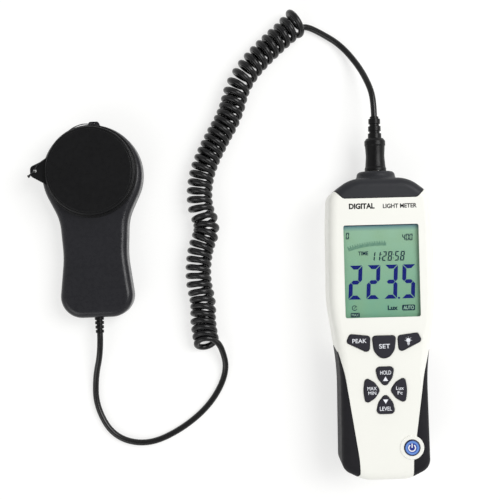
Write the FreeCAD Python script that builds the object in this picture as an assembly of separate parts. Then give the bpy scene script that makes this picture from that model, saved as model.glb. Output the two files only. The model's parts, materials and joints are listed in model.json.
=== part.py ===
import FreeCAD, Part
import math
import os

# Hand-held light meter with a sensor head on a curly lead, in millimetres.
# The instrument and the head lie on their backs on the plane z = 0, faces up, +Y towards the plug.
# The origin is the centre of their common footprint, to within 1.5.
# The instrument is drawn about its own long axis, x = 0, with y = 0 just below its lower end.
# The head is drawn about the centre of its round sensor, with its handle towards -Y.

V = FreeCAD.Vector

# How far a cutting shape runs: just past a face, or past the whole object
PAST = 1.0
BEYOND = 200.0

# Places of the two bodies
METER_X = 86.3
METER_Y = -110.66
HEAD_X = -83.6
HEAD_Y = 78.7
HEAD_LEAN = 0.8

# Instrument body
BODY_THICK = 36.0
FRONT_EDGE_R = 5.0
REAR_EDGE_R = 7.0
WALL = 2.5
PARTING_Z = 17.0
SEAM = 0.35
SEAM_DEPTH = 0.5
GRIP_THICK = 1.6
GAP = 0.15
BODY_HALF = [
    (13.0, 3.9, 18.0),
    (25.9, 10.3, 8.0),
    (25.3, 68.0, 150.0),
    (30.9, 107.0, 90.0),
    (30.5, 150.0, 60.0),
    (29.5, 170.3, 7.5),
    (17.0, 180.0, 20.0),
]

# Cap on the instrument's upper end, with the socket neck
CAP_EDGE_Y = 168.1
CAP_FLAT = 21.5
CAP_HALF_W = 32.0
CAP_SLOPE_RISE = 10.0
NECK_END_Y = 184.6
NECK_R = 10.9
NECK_BORE_R = 8.1
SPIGOT = 1.5

# Display
DISPLAY_Y = 125.7
DISPLAY_W = 43.7
DISPLAY_H = 53.8
BEZEL = 1.2
WINDOW_THICK = 1.2
WINDOW_LAP = 2.0
PANEL_THICK = 1.8
BACKLIGHT_THICK = 1.5
PANEL_LAP = 1.1

# Circuit board
BOARD_Z = 26.5
BOARD_THICK = 1.6
BOARD_HALF_W = 22.2

# Heights that follow from the display's stack
WINDOW_LOW = BODY_THICK - BEZEL - WINDOW_THICK
PANEL_TOP = WINDOW_LOW - 0.2
PANEL_LOW = PANEL_TOP - PANEL_THICK
FRAME_LOW = BOARD_Z + BOARD_THICK

# Keys: an outline is a list of x, y and corner radius
KEY_RISE = 1.0
KEY_GAP = 0.25
KEY_LAP = 0.55
KEY_EDGE_R = 0.5
KEY_TRAVEL = 0.8
DOME_HEIGHT = 0.35
PAD_Y = 56.6
POWER_X = 14.7
POWER_Y = 23.0
POWER_R = 4.6
RING_R = 7.0
RING_RISE = 0.5

# Battery and its door
BATTERY_W = 26.5
BATTERY_H = 17.5
BATTERY_L = 46.5
BATTERY_Y = 15.0
BATTERY_Z = 3.6
DOOR_HALF_W = 14.5
DOOR_END_Y = 66.0
DOOR_THICK = 2.2
DOOR_LIP_Z = 7.5
RAIL_START_Y = 13.0
RAIL_Z = 1.0
RAIL_THICK = 1.0
RAIL_REACH = 0.6

# Fasteners
SCREW_R = 1.35
SCREW_HEAD_R = 2.3
SCREW_SEAT_Z = 4.0
BOSS_R = 2.6
HOUSING_SCREWS = [(-24.6, 158.4), (24.6, 158.4), (-22.6, 92.6), (22.6, 92.6)]
BOARD_SCREWS = [(-18.0, 160.8), (18.0, 160.8), (-20.6, 70.0), (20.6, 70.0), (0.0, 17.0)]
TRIPOD_Y = 112.0
TRIPOD_R = 2.6
TRIPOD_LENGTH = 7.0

# Plug and socket, on one axis along +Y
PLUG_Z = 18.0
SOCKET_R = 8.0
SOCKET_MOUTH_Y = 183.6
SOCKET_FLOOR_Y = 174.5
CORE_R = 4.1
CORE_END_Y = 180.0
SHELL_R = 4.75
SHELL_WALL = 0.4
SHELL_END_Y = 175.5
CONTACT_R = 0.9
PIN_R = 0.45
PIN_RING_R = 2.3
PIN_COUNT = 4
PLUG_R = 6.0
PLUG_START_Y = 185.0
PLUG_LENGTH = 19.5
BOOT_LENGTH = 13.0
BOOT_R = 4.0

# Sensor head
HEAD_R = 30.0
ROUND_Y = -1.9
HEAD_THICK = 18.0
HEAD_PARTING_Z = 8.5
HEAD_TOP_R = 4.0
HEAD_BACK_R = 5.0
HEAD_WALL = 2.0
SHOULDER_ANGLE = 26.0
SHOULDER_RUN = 21.8
TURRET_R = 24.1
TURRET_TOP_Z = 21.0
SEAT_R = 22.0
SEAT_Z = 18.6
WELL_R = 18.0
DOME_R = 19.2
DOME_TOP_Z = 22.9
DOME_RIM_THICK = 1.4
DOME_WALL = 1.3
LUG_X = 1.8
LUG_HALF_W = 3.35
LUG_REACH = 30.3
LUG_HOLE_Y = 29.05
LUG_HOLE_R = 0.7
LUG_Z = 10.0
LUG_THICK = 3.0
HEAD_SCREWS = [(-22.0, 11.1), (22.0, 11.1), (-14.0, -73.0), (14.0, -73.0)]
HEAD_BOARD_Z = 11.0
HEAD_BOARD_THICK = 1.2
DIODE_HEIGHT = 2.6
HEAD_END_Y = -87.66
HEAD_BOOT_Z = 9.0
HEAD_BOOT_R = 2.8
HEAD_BOOT_LENGTH = 10.5

# Sensor cap
CAP_FLANGE_R = 27.7
CAP_SKIRT_R = 26.4
CAP_DISC_R = 24.8
CAP_BORE_R = 24.4
CAP_LOW_Z = 18.25
CAP_TOP_Z = 25.2
CAP_TOP_THICK = 1.5
CAP_STEP = 0.6
TAB_END_X = -36.0
TAB_TIP_R = 2.6
TAB_HOLE_X = -33.3
TAB_HOLE_Y = 1.3
TAB_HOLE_R = 1.0
TAB_THICK = 2.0

# Cord
CORD_R = 1.85
COIL_R = 7.9
COIL_Z = 8.0
TETHER_R = 0.3
LEAD_PLUG_SIDE = [
    (86.3, 106.84, 18.0),
    (86.3, 117.0, 18.0),
    (84.0, 127.3, 14.5),
    (78.7, 140.3, 6.8),
    (68.6, 153.8, 2.6),
    (56.0, 161.8, 2.2),
    (48.5, 166.0, 4.5),
    (42.5, 168.0, 6.0),
]
CURLY_AXIS = [
    (43.5, 168.0, COIL_Z),
    (22.0, 150.5, COIL_Z),
    (5.5, 131.5, COIL_Z),
    (0.5, 112.0, COIL_Z),
    (-9.5, 95.5, COIL_Z),
    (-18.5, 77.0, COIL_Z),
    (-20.5, 57.0, COIL_Z),
    (-14.5, 43.5, COIL_Z),
    (-20.5, 30.5, COIL_Z),
    (-22.2, 12.0, COIL_Z),
    (-18.8, -3.0, COIL_Z),
    (-20.0, -14.0, COIL_Z),
    (-17.6, -28.0, COIL_Z),
]
LEAD_HEAD_SIDE = [
    (-15.5, -23.0, 9.5),
    (-8.8, -29.0, 6.0),
    (-5.5, -44.5, 2.2),
    (-15.5, -64.0, 2.0),
    (-34.0, -79.5, 2.0),
    (-56.0, -89.0, 2.0),
    (-76.5, -83.5, 2.0),
    (-86.8, -64.5, 2.0),
    (-86.6, -46.0, 3.2),
    (-82.08, -30.4, 9.0),
    (-82.23, -19.45, 9.0),
]
CAP_TETHER = [
    (-82.2, 107.75, 10.4),
    (-82.2, 107.75, 14.6),
    (-88.9, 107.3, 15.8),
    (-96.7, 104.9, 15.4),
    (-104.3, 99.8, 15.2),
    (-109.9, 93.0, 15.8),
    (-112.7, 87.3, 17.8),
    (-115.7, 84.3, 21.5),
    (-116.9, 79.53, 21.5),
    (-116.9, 79.53, 17.3),
    (-120.8, 78.1, 17.2),
    (-120.8, 78.1, 21.2),
    (-118.3, 78.7, 20.8),
]


# ---- shapes that many pieces share ----

def mirrored(half):
    """A closed outline that is symmetric about x = 0, from its right half, lower end first."""
    return half + [(-x, y, r) for x, y, r in reversed(half)]


def flipped(outline):
    """The outline mirrored left to right."""
    return [(-x, y, r) for x, y, r in reversed(outline)]


def rounded_wire(outline):
    """A closed wire in the XY plane; each point is x, y and the radius that rounds its corner."""
    count = len(outline)
    starts, mids, ends = [], [], []
    for i, (x, y, r) in enumerate(outline):
        corner = V(x, y, 0)
        back = (V(*outline[i - 1][:2], 0) - corner).normalize()
        ahead = (V(*outline[(i + 1) % count][:2], 0) - corner).normalize()
        half_angle = back.getAngle(ahead) / 2
        inward = (back + ahead).normalize()
        reach = r / math.tan(half_angle)
        starts.append(corner + back * reach)
        ends.append(corner + ahead * reach)
        mids.append(corner + inward * (r / math.sin(half_angle) - r))
    edges = []
    for i in range(count):
        if outline[i][2] > 0:
            edges.append(Part.Arc(starts[i], mids[i], ends[i]).toShape())
        following = starts[(i + 1) % count]
        if (following - ends[i]).Length > 1e-6:
            edges.append(Part.LineSegment(ends[i], following).toShape())
    return Part.Wire(edges)


def raised(wire, low, high):
    """The wire's area as a prism from one height to another."""
    solid = Part.Face(wire).extrude(V(0, 0, high - low))
    solid.translate(V(0, 0, low))
    return solid


def prism(outline, low, high):
    return raised(rounded_wire(outline), low, high)


def block(half_w, y0, y1, low, high, x=0.0):
    return Part.makeBox(2 * half_w, y1 - y0, high - low, V(x - half_w, y0, low))


def layer(low, high):
    """Everything between two heights."""
    return block(BEYOND, -BEYOND, BEYOND, low, high)


def rounded_block(half_w, y0, y1, low, high, r, x=0.0):
    corners = [(x - half_w, y0, r), (x + half_w, y0, r), (x + half_w, y1, r), (x - half_w, y1, r)]
    return prism(corners, low, high)


def upright(r, x, y, low, high):
    return Part.makeCylinder(r, high - low, V(x, y, low))


def lengthwise(r, y0, y1, x=0.0, z=0.0):
    return Part.makeCylinder(r, y1 - y0, V(x, y0, z), V(0, 1, 0))


def turned_along_y(profile, z):
    """A turned piece on the line x = 0 at height z; the profile is radius, y and corner radius."""
    solid = Part.Face(rounded_wire(profile)).revolve(V(0, 0, 0), V(0, 1, 0), 360)
    solid.translate(V(0, 0, z))
    return solid


def turned_upright(profile, x, y):
    """A turned piece on a vertical axis; the profile is radius, height and corner radius."""
    solid = Part.Face(rounded_wire(profile)).revolve(V(0, 0, 0), V(0, 1, 0), 360)
    solid.rotate(V(0, 0, 0), V(1, 0, 0), 90)
    solid.translate(V(x, y, 0))
    return solid


def flat_edges(solid, z):
    boxes = [(e, e.BoundBox) for e in solid.Edges]
    return [e for e, box in boxes if abs(box.ZMin - z) < 1e-6 and abs(box.ZMax - z) < 1e-6]


def softened(solid, z, r):
    """The solid with every edge at height z rounded."""
    return solid.makeFillet(r, flat_edges(solid, z))


def group(solids):
    return Part.makeCompound(solids)


def fused(solids):
    return solids[0].multiFuse(solids[1:]).removeSplitter()


# ---- instrument: housing, cap and grips ----

def body_form(inset):
    """The instrument's outer form, or the same form shrunk by an inset on every side."""
    wire = rounded_wire(mirrored(BODY_HALF))
    if inset:
        wire = wire.makeOffset2D(-inset)
    solid = raised(wire, inset, BODY_THICK - inset)
    solid = softened(solid, BODY_THICK - inset, FRONT_EDGE_R - inset)
    return softened(solid, inset, REAR_EDGE_R - inset)


OUTER = body_form(0.0)
INNER = body_form(WALL)
UNDER_GRIP = body_form(GRIP_THICK)


def cap_region(gap):
    """The space that the cap takes of the body, less a gap at its lower edge."""
    edge = CAP_EDGE_Y + gap
    outline = mirrored([
        (CAP_FLAT - gap, edge, 3.0),
        (CAP_HALF_W - gap, edge + CAP_SLOPE_RISE, 0.0),
        (CAP_HALF_W - gap, BEYOND, 0.0),
    ])
    return prism(outline, -PAST, BODY_THICK + PAST)


def grip_side(gap):
    """The grip's space in side view: its upper end reaches furthest low on the side."""
    wire = rounded_wire([
        (-5.0, -3.0, 0.0),
        (76.0, -3.0, 0.0),
        (81.2, 9.0, 6.0),
        (78.6, 40.0, 0.0),
        (-5.0, 40.0, 0.0),
    ])
    if gap:
        wire = wire.makeOffset2D(-gap)
    solid = raised(wire, -BEYOND, BEYOND)
    solid.rotate(V(0, 0, 0), V(1, 1, 1), 120)
    return solid


def grip_region(side, gap):
    """The space of one grip, less a gap all round; side is -1 on the left and 1 on the right."""
    foot_r = 3.0 if side < 0 else 0.4
    right = [
        (29.8, 92.0, 0.0),
        (22.9, 66.0, 60.0),
        (15.6, 16.0, 60.0),
        (15.3, 4.0, foot_r),
        (33.0, 12.9, 0.0),
        (36.0, 92.0, 0.0),
    ]
    outline = right if side > 0 else flipped(right)
    wire = rounded_wire(outline)
    if gap:
        wire = wire.makeOffset2D(-gap)
    region = raised(wire, -PAST, BODY_THICK + PAST).common(grip_side(gap))
    if side > 0:
        region = region.cut(upright(RING_R + gap, POWER_X, POWER_Y, PARTING_Z, BODY_THICK + PAST))
    return region


def grip(side):
    return OUTER.common(grip_region(side, GAP)).cut(UNDER_GRIP)


def top_cap():
    neck = turned_along_y([
        (0.0, 172.0, 0.0),
        (13.6, 172.0, 0.0),
        (13.6, 178.8, 1.5),
        (11.6, 181.0, 3.0),
        (NECK_R, NECK_END_Y, 2.4),
        (0.0, NECK_END_Y, 0.0),
    ], PLUG_Z)
    shell = OUTER.common(cap_region(2 * GAP)).cut(INNER)
    spigot = INNER.cut(body_form(WALL + SPIGOT)).common(block(29.0, 164.5, 171.0, 4.0, 32.0))
    spigot = spigot.cut(group([upright(BOSS_R + 0.4, x, y, 0.0, BODY_THICK) for x, y in HOUSING_SCREWS]))
    cap = fused([shell, neck, spigot])
    return cap.cut(lengthwise(NECK_BORE_R, 171.9, NECK_END_Y + PAST, z=PLUG_Z))


def housing_shell():
    """Both halves of the housing as one hollow form, with its recesses but no openings."""
    recesses = [grip_region(side, 0.0).cut(UNDER_GRIP) for side in (-1, 1)]
    seam = layer(PARTING_Z - SEAM / 2, PARTING_Z + SEAM / 2).cut(body_form(SEAM_DEPTH))
    return OUTER.cut(INNER).cut([cap_region(0.0), seam] + recesses)


def in_body(solid, low, high):
    """The part of a solid that lies inside the housing, between two heights."""
    return solid.common(OUTER).common(layer(low, high))


def front_housing():
    shell = housing_shell().common(layer(PARTING_Z, BODY_THICK + PAST))
    ring = upright(RING_R, POWER_X, POWER_Y, BODY_THICK - 1.0, BODY_THICK + RING_RISE)
    ring = softened(ring, BODY_THICK + RING_RISE, 0.35)
    bosses = [in_body(upright(BOSS_R, x, y, PARTING_Z, 34.0), PARTING_Z, 34.0) for x, y in HOUSING_SCREWS]
    posts = [upright(2.2, x, y, BOARD_Z + BOARD_THICK, 34.0) for x, y in BOARD_SCREWS]
    body = fused([shell, ring] + bosses + posts)
    half_w = DISPLAY_W / 2
    low_y = DISPLAY_Y - DISPLAY_H / 2
    high_y = DISPLAY_Y + DISPLAY_H / 2
    opening = rounded_block(half_w, low_y, high_y, FRAME_LOW, BODY_THICK + PAST, 1.2)
    lap = WINDOW_LAP + 0.15
    rebate = block(half_w + lap, low_y - lap, high_y + lap, FRAME_LOW, BODY_THICK - BEZEL)
    key_holes = [key_wire(name).makeOffset2D(KEY_GAP) for name in KEYS]
    holes = [raised(wire, FRAME_LOW, BODY_THICK + PAST) for wire in key_holes]
    pilots = [upright(1.1, x, y, PARTING_Z - PAST, 30.0) for x, y in HOUSING_SCREWS]
    pilots += [upright(0.8, x, y, BOARD_Z, 33.0) for x, y in BOARD_SCREWS]
    return body.cut([opening, rebate] + holes + pilots)


def door_space(gap):
    return block(DOOR_HALF_W + gap, -PAST, DOOR_END_Y + gap, -PAST, DOOR_LIP_Z + gap)


def door_rails(start, gap):
    """The rails on the door's long edges, or with a gap the grooves that they slide in."""
    end = DOOR_END_Y - 0.5 + gap
    low = RAIL_Z - gap / 2
    high = RAIL_Z + RAIL_THICK + gap / 2
    places = (-DOOR_HALF_W - RAIL_REACH / 2, DOOR_HALF_W + RAIL_REACH / 2)
    return group([block(RAIL_REACH + gap / 2, start, end, low, high, x) for x in places])


def rear_housing():
    shell = housing_shell().common(layer(-PAST, PARTING_Z))
    bosses = [in_body(upright(BOSS_R, x, y, 1.0, PARTING_Z), 1.0, PARTING_Z) for x, y in HOUSING_SCREWS]
    rib_x = DOOR_HALF_W + 1.1
    ribs = [block(0.6, RAIL_START_Y, DOOR_END_Y - 1.0, 2.0, 14.0, x) for x in (-rib_x, rib_x)]
    tripod = upright(6.5, 0.0, TRIPOD_Y, 1.0, TRIPOD_LENGTH + 1.5)
    body = fused([shell, tripod] + bosses + ribs)
    heads = [upright(SCREW_HEAD_R + 0.3, x, y, -PAST, SCREW_SEAT_Z) for x, y in HOUSING_SCREWS]
    shanks = [upright(SCREW_R + 0.15, x, y, -PAST, PARTING_Z + PAST) for x, y in HOUSING_SCREWS]
    insert = upright(4.5, 0.0, TRIPOD_Y, -PAST, TRIPOD_LENGTH + 0.3)
    door = door_space(GAP).cut(body_form(DOOR_THICK))
    return body.cut([door, door_rails(0.0, 0.2), insert] + heads + shanks)


def battery_door():
    cover = OUTER.common(door_space(0.0)).cut(body_form(DOOR_THICK))
    grooves = [block(7.0, 55.0 - 2.6 * i, 56.2 - 2.6 * i, -PAST, 0.7) for i in range(5)]
    return fused([cover] + door_rails(RAIL_START_Y, 0.0).Solids).cut(grooves)


def housing_screws():
    screws = []
    for x, y in HOUSING_SCREWS:
        profile = [
            (0.0, 1.6, 0.0),
            (SCREW_HEAD_R, 1.6, 0.5),
            (SCREW_HEAD_R, SCREW_SEAT_Z - 0.1, 0.0),
            (SCREW_R, SCREW_SEAT_Z - 0.1, 0.0),
            (SCREW_R, PARTING_Z - 0.2, 0.0),
            (1.05, PARTING_Z - 0.2, 0.0),
            (1.05, 27.0, 0.0),
            (0.0, 27.0, 0.0),
        ]
        along = Part.makeBox(3.2, 0.6, 1.0, V(x - 1.6, y - 0.3, 1.4))
        across = Part.makeBox(0.6, 3.2, 1.0, V(x - 0.3, y - 1.6, 1.4))
        screws.append(turned_upright(profile, x, y).cut([along, across]))
    return group(screws)


def tripod_insert():
    insert = upright(4.4, 0.0, TRIPOD_Y, 0.3, TRIPOD_LENGTH + 0.3)
    grooves = []
    for z in (1.8, 3.6, 5.4):
        profile = [(4.0, z, 0.0), (5.0, z, 0.0), (5.0, z + 0.8, 0.0), (4.0, z + 0.8, 0.0)]
        grooves.append(turned_upright(profile, 0.0, TRIPOD_Y))
    thread = upright(TRIPOD_R, 0.0, TRIPOD_Y, -PAST, TRIPOD_LENGTH - 0.5)
    return insert.cut([thread] + grooves)


# ---- instrument: keys ----

SIDE_KEY = [(8.0, 88.1, 1.8), (8.6, 78.2, 2.0), (21.9, 84.8, 1.6), (19.7, 89.5, 1.6)]
PAD_SIDE_KEY = [
    (11.4, 64.2, 1.6),
    (6.2, 61.2, 5.0),
    (3.0, PAD_Y, 2.4),
    (6.2, 52.0, 5.0),
    (11.4, 49.0, 1.6),
    (12.7, PAD_Y, 20.0),
]
HOLD_KEY = mirrored([(4.1, 63.6, 5.0), (5.6, 70.2, 2.2)]) + [(0.0, 58.4, 2.0)]
SET_KEY = mirrored([(5.9, 79.6, 6.0), (6.9, 88.2, 1.8)]) + [(0.0, 72.2, 5.0)]
KEYS = {
    "peak_key": flipped(SIDE_KEY),
    "set_key": SET_KEY,
    "backlight_key": SIDE_KEY,
    "hold_key": HOLD_KEY,
    "max_min_key": flipped(PAD_SIDE_KEY),
    "unit_key": PAD_SIDE_KEY,
    "level_key": [(x, 2 * PAD_Y - y, r) for x, y, r in reversed(HOLD_KEY)],
    "power_key": None,
}


def key_wire(name):
    """A key's outline; the power key is round."""
    if KEYS[name] is None:
        return Part.Wire([Part.makeCircle(POWER_R, V(POWER_X, POWER_Y, 0))])
    return rounded_wire(KEYS[name])


def key_centre(name):
    return Part.Face(key_wire(name)).CenterOfMass


def key(name):
    wire = key_wire(name)
    lap_top = BODY_THICK - WALL - 0.3
    lap_low = lap_top - 0.8
    top = BODY_THICK + KEY_RISE
    button = softened(raised(wire, lap_low, top), top, KEY_EDGE_R)
    lap = raised(wire.makeOffset2D(KEY_LAP), lap_low, lap_top)
    centre = key_centre(name)
    foot = BOARD_Z + BOARD_THICK + DOME_HEIGHT + KEY_TRAVEL + 0.05
    return fused([button, lap, upright(2.0, centre.x, centre.y, foot, lap_low)])


def snap_domes():
    base = BOARD_Z + BOARD_THICK
    top = base + DOME_HEIGHT
    profile = [(0.0, base, 0.0), (2.9, base, 0.0), (1.8, top, 0.0), (0.0, top, 0.0)]
    centres = [key_centre(name) for name in KEYS]
    return group([turned_upright(profile, c.x, c.y) for c in centres])


# ---- instrument: display, board and battery ----

def display_plate(lap, low, high, r=0.6):
    """A plate in line with the display opening and larger than it by a lap all round."""
    y0 = DISPLAY_Y - DISPLAY_H / 2 - lap
    y1 = DISPLAY_Y + DISPLAY_H / 2 + lap
    return rounded_block(DISPLAY_W / 2 + lap, y0, y1, low, high, r)


def display_window():
    return display_plate(WINDOW_LAP, WINDOW_LOW, WINDOW_LOW + WINDOW_THICK)


def display_panel():
    return display_plate(PANEL_LAP, PANEL_LOW, PANEL_TOP)


def backlight_plate():
    return display_plate(PANEL_LAP, PANEL_LOW - BACKLIGHT_THICK, PANEL_LOW)


def display_frame():
    seat = display_plate(PANEL_LAP, PANEL_LOW - BACKLIGHT_THICK, BODY_THICK)
    hollow = display_plate(-1.5, FRAME_LOW - 1.0, BODY_THICK)
    return display_plate(PANEL_LAP + 0.8, FRAME_LOW, PANEL_TOP).cut([seat, hollow])


def main_circuit_board():
    board = rounded_block(BOARD_HALF_W, 12.0, 163.5, BOARD_Z, BOARD_Z + BOARD_THICK, 4.0)
    corner_cuts = [block(3.0, 11.0, 26.0, 20.0, 30.0, x) for x in (-BOARD_HALF_W, BOARD_HALF_W)]
    holes = [upright(1.2, x, y, 20.0, 30.0) for x, y in BOARD_SCREWS]
    notches = [upright(BOSS_R + 0.4, x, y, 20.0, 30.0) for x, y in HOUSING_SCREWS]
    return board.cut(holes + corner_cuts + notches)


def board_screws():
    screws = []
    for x, y in BOARD_SCREWS:
        profile = [
            (0.0, BOARD_Z - 1.6, 0.0),
            (2.0, BOARD_Z - 1.6, 0.4),
            (2.0, BOARD_Z, 0.0),
            (0.75, BOARD_Z, 0.0),
            (0.75, BOARD_Z + 5.0, 0.0),
            (0.0, BOARD_Z + 5.0, 0.0),
        ]
        screws.append(turned_upright(profile, x, y))
    return group(screws)


def circuit_chips():
    chips = [
        rounded_block(6.0, 120.0, 132.0, BOARD_Z - 1.6, BOARD_Z, 0.4),
        rounded_block(4.0, 100.0, 106.0, BOARD_Z - 1.4, BOARD_Z, 0.4, 12.0),
        rounded_block(2.6, 88.0, 92.0, BOARD_Z - 1.4, BOARD_Z, 0.4, -10.0),
        rounded_block(3.0, 140.0, 144.5, BOARD_Z - 1.2, BOARD_Z, 0.4, 14.0),
    ]
    capacitors = [upright(2.5, x, 146.0, BOARD_Z - 7.0, BOARD_Z) for x in (-14.0, -8.0)]
    return group(chips + capacitors)


def buzzer():
    can = upright(6.0, -13.0, 78.0, BOARD_Z - 6.0, BOARD_Z)
    return softened(can, BOARD_Z - 6.0, 0.6).cut(upright(1.0, -13.0, 78.0, BOARD_Z - 7.0, BOARD_Z - 3.0))


def battery():
    can = block(BATTERY_W / 2, BATTERY_Y, BATTERY_Y + BATTERY_L, BATTERY_Z, BATTERY_Z + BATTERY_H)
    return can.makeFillet(2.0, [e for e in can.Edges if e.BoundBox.YLength > BATTERY_L - 1.0])


def battery_terminals():
    """The two snap studs on the battery's end."""
    end = BATTERY_Y + BATTERY_L
    z = BATTERY_Z + BATTERY_H / 2
    return group([lengthwise(2.8, end, end + 2.0, x, z) for x in (-6.3, 6.3)])


def battery_snap():
    end = BATTERY_Y + BATTERY_L
    z = BATTERY_Z + BATTERY_H / 2
    cover = block(12.5, end + 0.3, end + 3.6, z - 6.0, z + 6.0)
    cover = cover.makeFillet(1.2, [e for e in cover.Edges if e.BoundBox.YLength > 3.0])
    return cover.cut([lengthwise(2.85, end - 1.0, end + 2.05, x, z) for x in (-6.3, 6.3)])


def tube(route, r):
    """A round tube along straight runs joined by arcs as large as the runs allow; returns its radii too."""
    points = [V(*p) for p in route]
    edges = []
    radii = []
    last = points[0]
    for before, corner, after in zip(points, points[1:], points[2:]):
        back = before - corner
        ahead = after - corner
        reach = 0.45 * min(back.Length, ahead.Length)
        half_angle = back.getAngle(ahead) / 2
        radii.append(reach * math.tan(half_angle))
        start = corner + back.normalize() * reach
        end = corner + ahead.normalize() * reach
        inward = (back + ahead).normalize()
        mid = corner + inward * (radii[-1] / math.sin(half_angle) - radii[-1])
        edges.append(Part.LineSegment(last, start).toShape())
        edges.append(Part.Arc(start, mid, end).toShape())
        last = end
    edges.append(Part.LineSegment(last, points[-1]).toShape())
    spine = Part.Wire(edges)
    section = Part.Wire([Part.makeCircle(r, points[0], points[1] - points[0])])
    solid = spine.makePipeShell([section], True, False)
    return solid, radii, spine.Length


def battery_leads():
    end = BATTERY_Y + BATTERY_L + 3.6
    z = BATTERY_Z + BATTERY_H / 2
    leads = []
    for x in (-3.0, 3.0):
        board_x = 1.4 * x
        route = [
            (x, end, z),
            (x, end + 5.0, z),
            (board_x, end + 8.0, z + 6.0),
            (board_x, end + 8.0, BOARD_Z),
        ]
        leads.append(tube(route, 0.6)[0])
    return group(leads)


# ---- socket and plug ----

def probe_socket():
    """The socket's round sleeve, with a flange that bears on the cap's inside."""
    return turned_along_y([
        (SHELL_R + 0.2, 170.0, 0.0),
        (9.5, 170.0, 0.4),
        (9.5, 172.0, 0.0),
        (SOCKET_R, 172.0, 0.0),
        (SOCKET_R, SOCKET_MOUTH_Y, 0.4),
        (SHELL_R + 0.2, SOCKET_MOUTH_Y, 0.3),
    ], PLUG_Z)


def socket_core():
    """The insulator in the sleeve: a plug that closes its back end and a slimmer nose with the contacts."""
    body = turned_along_y([
        (0.0, 170.0, 0.0),
        (SHELL_R + 0.2, 170.0, 0.0),
        (SHELL_R + 0.2, SOCKET_FLOOR_Y, 0.0),
        (CORE_R, SOCKET_FLOOR_Y, 0.0),
        (CORE_R, CORE_END_Y, 0.3),
        (0.0, CORE_END_Y, 0.0),
    ], PLUG_Z)
    return body.cut([lengthwise(CONTACT_R, 169.0, 181.0, x, z) for x, z in pin_places()])


def pin_places():
    """The pins' places round the plug's axis, as x and z."""
    places = []
    for i in range(PIN_COUNT):
        angle = math.radians(45 + 360 * i / PIN_COUNT)
        places.append((PIN_RING_R * math.cos(angle), PLUG_Z + PIN_RING_R * math.sin(angle)))
    return places


def socket_contacts():
    contacts = []
    for x, z in pin_places():
        tail = lengthwise(CONTACT_R, 167.0, CORE_END_Y - 0.2, x, z)
        contacts.append(tail.cut(lengthwise(PIN_R + 0.05, 176.0, CORE_END_Y, x, z)))
    return group(contacts)


def plug_shell():
    tube_wall = lengthwise(SHELL_R, SHELL_END_Y, PLUG_START_Y + 3.0, z=PLUG_Z)
    return tube_wall.cut(lengthwise(SHELL_R - SHELL_WALL, SHELL_END_Y - 1.0, PLUG_START_Y + 4.0, z=PLUG_Z))


def plug_pins():
    return group([lengthwise(PIN_R, 177.5, PLUG_START_Y + 1.0, x, z) for x, z in pin_places()])


def plug_body():
    y0 = PLUG_START_Y
    y1 = PLUG_START_Y + PLUG_LENGTH
    profile = [
        (0.0, y0, 0.0),
        (PLUG_R + 0.4, y0, 0.3),
        (PLUG_R + 0.4, y0 + 1.6, 0.4),
        (PLUG_R, y0 + 2.6, 1.0),
        (PLUG_R - 0.5, y0 + 9.0, 12.0),
        (PLUG_R - 0.1, y1 - 4.6, 0.6),
        (PLUG_R + 0.2, y1 - 4.2, 0.3),
        (PLUG_R + 0.2, y1 - 1.6, 0.6),
        (PLUG_R - 1.0, y1, 0.5),
        (0.0, y1, 0.0),
    ]
    body = turned_along_y(profile, PLUG_Z)
    shell_seat = lengthwise(SHELL_R, y0 - 1.0, y0 + 3.0, z=PLUG_Z).cut(
        lengthwise(SHELL_R - SHELL_WALL, y0 - 2.0, y0 + 4.0, z=PLUG_Z))
    pin_seats = [lengthwise(PIN_R, y0 - 1.0, y0 + 1.0, x, z) for x, z in pin_places()]
    return body.cut([shell_seat] + pin_seats)


def strain_boot(start, length, r, segments, end_r):
    """A ribbed boot about the Y axis: collars that step down in size, joined by a thinner core."""
    pitch = length / segments
    profile = [(CORD_R - 0.4, start, 0.0)]
    for i in range(segments):
        collar_r = r + (end_r - r) * i / (segments - 1)
        low = start + i * pitch
        profile.append((collar_r, low, 0.15))
        profile.append((collar_r, low + 0.68 * pitch, 0.3))
        profile.append((collar_r - 0.9, low + 0.72 * pitch, 0.0))
        profile.append((collar_r - 0.9, low + pitch, 0.0))
    profile.append((CORD_R - 0.4, start + length, 0.0))
    return profile


def plug_boot():
    profile = strain_boot(PLUG_START_Y + PLUG_LENGTH, BOOT_LENGTH, BOOT_R, 3, 3.5)
    return turned_along_y(profile, PLUG_Z)


# ---- sensor head ----

def head_outline():
    """The round sensor end runs into the handle by a shoulder on each side."""
    angle = math.radians(SHOULDER_ANGLE)
    drop = HEAD_R * math.tan(angle / 2)
    waist_x = HEAD_R - SHOULDER_RUN * math.sin(angle)
    waist_y = -drop - SHOULDER_RUN * math.cos(angle)
    return mirrored([
        (23.4, HEAD_END_Y, 13.0),
        (19.0, -51.0, 60.0),
        (waist_x, ROUND_Y + waist_y, 30.0),
        (HEAD_R, ROUND_Y - drop, HEAD_R),
        (HEAD_R, ROUND_Y + HEAD_R, HEAD_R),
    ])


def head_form(inset):
    wire = rounded_wire(head_outline())
    if inset:
        wire = wire.makeOffset2D(-inset)
    solid = raised(wire, inset, HEAD_THICK - inset)
    solid = softened(solid, HEAD_THICK - inset, HEAD_TOP_R - inset)
    return softened(solid, inset, HEAD_BACK_R - inset)


def head_shell():
    seam = layer(HEAD_PARTING_Z - SEAM / 2, HEAD_PARTING_Z + SEAM / 2).cut(head_form(SEAM_DEPTH))
    return head_form(0.0).cut(head_form(HEAD_WALL)).cut(seam)


def boot_seat():
    return lengthwise(HEAD_BOOT_R - 0.4, HEAD_END_Y - 1.0, HEAD_END_Y + HEAD_WALL + 0.1, z=HEAD_BOOT_Z)


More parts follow.
